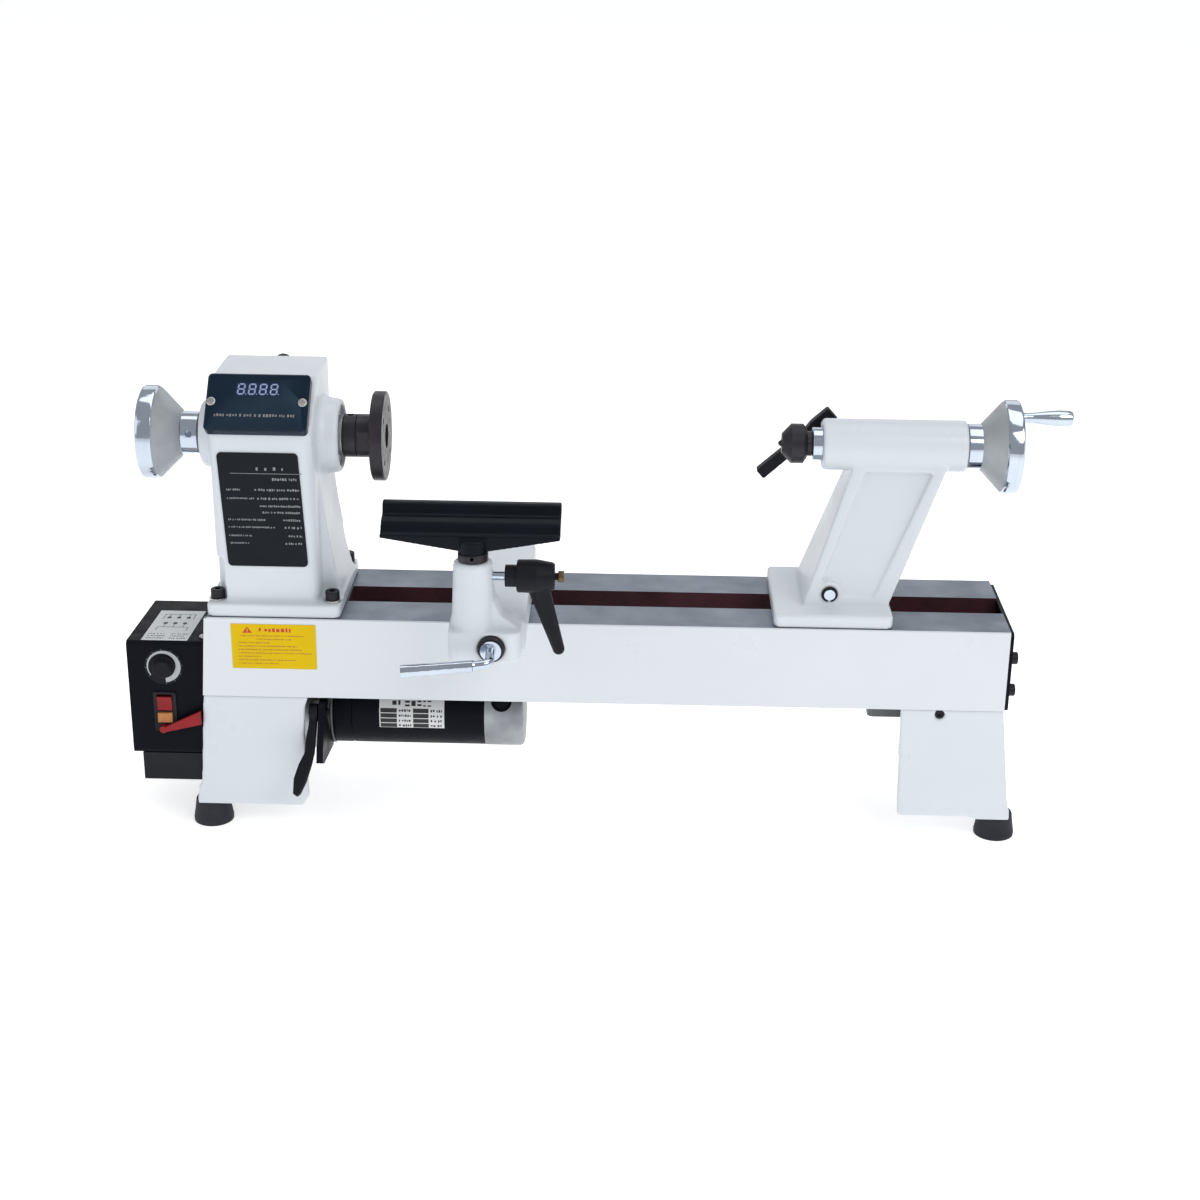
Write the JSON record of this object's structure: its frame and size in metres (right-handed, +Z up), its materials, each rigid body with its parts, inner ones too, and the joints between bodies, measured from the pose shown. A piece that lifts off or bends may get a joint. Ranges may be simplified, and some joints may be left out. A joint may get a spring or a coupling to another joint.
{
  "type": "bench wood lathe",
  "caption": "Small bench wood lathe: white cast bed, headstock with speed display, tool rest on a cam-locked banjo, tailstock with handwheel, motor slung below.",
  "frame": {"origin": "on the floor plane, under the centre of the whole machine's bounding box", "axes": "+X along the bed from headstock to tailstock, +Y away from the operator, +Z up"},
  "size_m": [0.842, 0.2774, 0.4235],
  "materials": {
    "white_paint": "gloss",
    "ground_iron": "ground",
    "black_paint": "satin",
    "black_oxide": "satin",
    "polished_steel": "polished",
    "turned_steel": "satin",
    "zinc": "satin",
    "cast_aluminium": "satin",
    "black_plastic": "matte",
    "gloss_black": "gloss",
    "rubber": "matte",
    "belt_rubber": "matte",
    "yellow_film": "satin",
    "silver_film": "satin",
    "red_plastic": "satin",
    "yellow_plastic": "satin",
    "smoked_window": "gloss",
    "circuit_board": "satin"
  },
  "bodies": {
    "base": {"bed": "white_paint", "left_leg": "white_paint", "right_leg": "white_paint", "leg_bolts": "black_oxide", "end_plate": "black_paint", "end_stop": "ground_iron", "rubber_feet": "rubber", "headstock": "white_paint", "headstock_bolts": "black_oxide", "headstock_washers": "zinc", "display_case": "gloss_black", "display_window": "smoked_window", "panel_screws": "zinc", "spec_plate": "gloss_black", "decals": "yellow_film", "spindle_bearings": "turned_steel", "drive_belt": "belt_rubber", "control_box": "black_paint", "lower_cover": "black_plastic", "control_board": "circuit_board", "cable_gland": "black_plastic", "switch_body": "black_plastic", "safety_key": "yellow_plastic"},
    "belt_cover": {"belt_door": "white_paint"},
    "cover_knob": {"door_knob": "black_plastic"},
    "rocker": {"switch_rocker": "red_plastic"},
    "flag": {"stop_flag": "red_plastic"},
    "speed_control": {"speed_knob": "black_plastic"},
    "spindle": {"spindle_shaft": "turned_steel", "spindle_pulley": "cast_aluminium", "faceplate": "black_oxide", "spindle_handwheel": "polished_steel"},
    "motor": {"motor_can": "black_paint", "motor_front_ring": "zinc", "motor_rear_cap": "cast_aluminium", "motor_bracket": "black_paint", "motor_label": "silver_film"},
    "rotor": {"motor_shaft": "turned_steel", "motor_pulley": "cast_aluminium"},
    "motor_clamp": {"tension_lever": "black_plastic"},
    "rest_carriage": {"rest_clamp": "ground_iron"},
    "rest_bolt": {"rest_eye_bolt": "turned_steel"},
    "banjo_slide": {"banjo": "white_paint", "cam_bush": "black_oxide"},
    "banjo_cam": {"banjo_cam_lever": "polished_steel"},
    "rest_lock": {"rest_lock_lever": "black_plastic"},
    "rest_swivel": {"rest_collar": "black_oxide"},
    "rest": {"tool_rest": "black_paint"},
    "tail": {"tailstock": "white_paint", "thrust_collar": "turned_steel", "tail_clamp": "turned_steel"},
    "quill_slide": {"quill": "polished_steel", "live_centre_shank": "black_oxide"},
    "centre": {"live_centre": "black_oxide"},
    "tail_screw": {"tail_handwheel": "polished_steel", "leadscrew": "turned_steel"},
    "crank": {"crank_handle": "polished_steel"},
    "quill_lock": {"quill_lock_lever": "black_plastic"},
    "tail_cam": {"tail_cam_lever": "polished_steel", "retaining_clip": "black_oxide"}
  },
  "joints": [
    {"name": "belt_door_hinge", "type": "hinge", "parent": "base", "child": "belt_cover", "pos_m": [-0.291, 0.1089, 0.252], "axis": [-1, 0, 0], "range_deg": [0, 100]},
    {"name": "door_knob_turn", "type": "hinge", "parent": "belt_cover", "child": "cover_knob", "pos_m": [-0.29, 0.1029, 0.4075], "axis": [0, 1, 0], "range_deg": [0, 360]},
    {"name": "power_rocker", "type": "hinge", "parent": "base", "child": "rocker", "pos_m": [-0.389, -0.0101, 0.1226], "axis": [1, 0, 0], "range_deg": [-12, 0]},
    {"name": "stop_flag_swing", "type": "hinge", "parent": "base", "child": "flag", "pos_m": [-0.3905, -0.0171, 0.0985], "axis": [0, 1, 0], "range_deg": [-8, 90]},
    {"name": "speed_dial", "type": "hinge", "parent": "base", "child": "speed_control", "pos_m": [-0.388, -0.0121, 0.158], "axis": [0, 1, 0], "range_deg": [-135, 135]},
    {"name": "spindle_spin", "type": "hinge", "parent": "base", "child": "spindle", "pos_m": [-0.287, 0.0489, 0.3604], "axis": [1, 0, 0], "continuous": true},
    {"name": "motor_swing", "type": "hinge", "parent": "base", "child": "motor", "pos_m": [-0.249, 0.0959, 0.112], "axis": [-1, 0, 0], "range_deg": [0, 4], "deforming": ["drive_belt"]},
    {"name": "motor_spin", "type": "hinge", "parent": "motor", "child": "rotor", "pos_m": [-0.287, 0.0489, 0.099], "axis": [1, 0, 0], "continuous": true},
    {"name": "motor_clamp_turn", "type": "hinge", "parent": "motor", "child": "motor_clamp", "pos_m": [-0.253, -0.0071, 0.113], "axis": [1, 0, 0], "range_deg": [-40, 20]},
    {"name": "rest_slide", "type": "slide", "parent": "base", "child": "rest_carriage", "axis": [1, 0, 0], "range_m": [-0.064, 0.19]},
    {"name": "banjo_swivel", "type": "hinge", "parent": "rest_carriage", "child": "rest_bolt", "pos_m": [-0.084, 0.0489, 0.2085], "axis": [0, 0, 1], "range_deg": [-25, 25]},
    {"name": "banjo_reach", "type": "slide", "parent": "rest_bolt", "child": "banjo_slide", "axis": [0, 1, 0], "range_m": [-0.035, 0.06]},
    {"name": "banjo_cam_turn", "type": "hinge", "parent": "banjo_slide", "child": "banjo_cam", "pos_m": [-0.084, -0.1011, 0.222], "axis": [0, 1, 0], "range_deg": [-15, 100]},
    {"name": "rest_lock_turn", "type": "hinge", "parent": "banjo_slide", "child": "rest_lock", "pos_m": [-0.06, -0.0881, 0.281], "axis": [1, 0, 0], "range_deg": [-80, 60]},
    {"name": "rest_turn", "type": "hinge", "parent": "banjo_slide", "child": "rest_swivel", "pos_m": [-0.1, -0.0881, 0.2945], "axis": [0, 0, 1], "range_deg": [-90, 90]},
    {"name": "rest_height", "type": "slide", "parent": "rest_swivel", "child": "rest", "axis": [0, 0, 1], "range_m": [0, 0.03]},
    {"name": "tail_slide", "type": "slide", "parent": "base", "child": "tail", "axis": [1, 0, 0], "range_m": [-0.19, 0.06]},
    {"name": "tail_wheel_turn", "type": "hinge", "parent": "tail", "child": "tail_screw", "pos_m": [0.343, 0.0489, 0.3604], "axis": [1, 0, 0], "range_deg": [-900, 9000]},
    {"name": "quill_feed", "type": "slide", "parent": "tail", "child": "quill_slide", "axis": [-1, 0, 0], "range_m": [-0.005, 0.05]},
    {"name": "centre_spin", "type": "hinge", "parent": "quill_slide", "child": "centre", "pos_m": [0.178, 0.0489, 0.3604], "axis": [1, 0, 0], "continuous": true},
    {"name": "crank_spin", "type": "hinge", "parent": "tail_screw", "child": "crank", "pos_m": [0.393, 0.0489, 0.3877], "axis": [1, 0, 0], "continuous": true},
    {"name": "quill_lock_turn", "type": "hinge", "parent": "tail", "child": "quill_lock", "pos_m": [0.2065, 0.0789, 0.371], "axis": [0, 1, 0], "range_deg": [-45, 45]},
    {"name": "tail_cam_turn", "type": "hinge", "parent": "tail", "child": "tail_cam", "pos_m": [0.211, 0.0489, 0.233], "axis": [0, 1, 0], "range_deg": [-60, 60]}
  ],
  "couplings": [
    {"joint": "motor_spin", "follows": "spindle_spin", "ratio": 1},
    {"joint": "quill_feed", "follows": "tail_wheel_turn", "m_per_rad": 0.00031831}
  ]
}
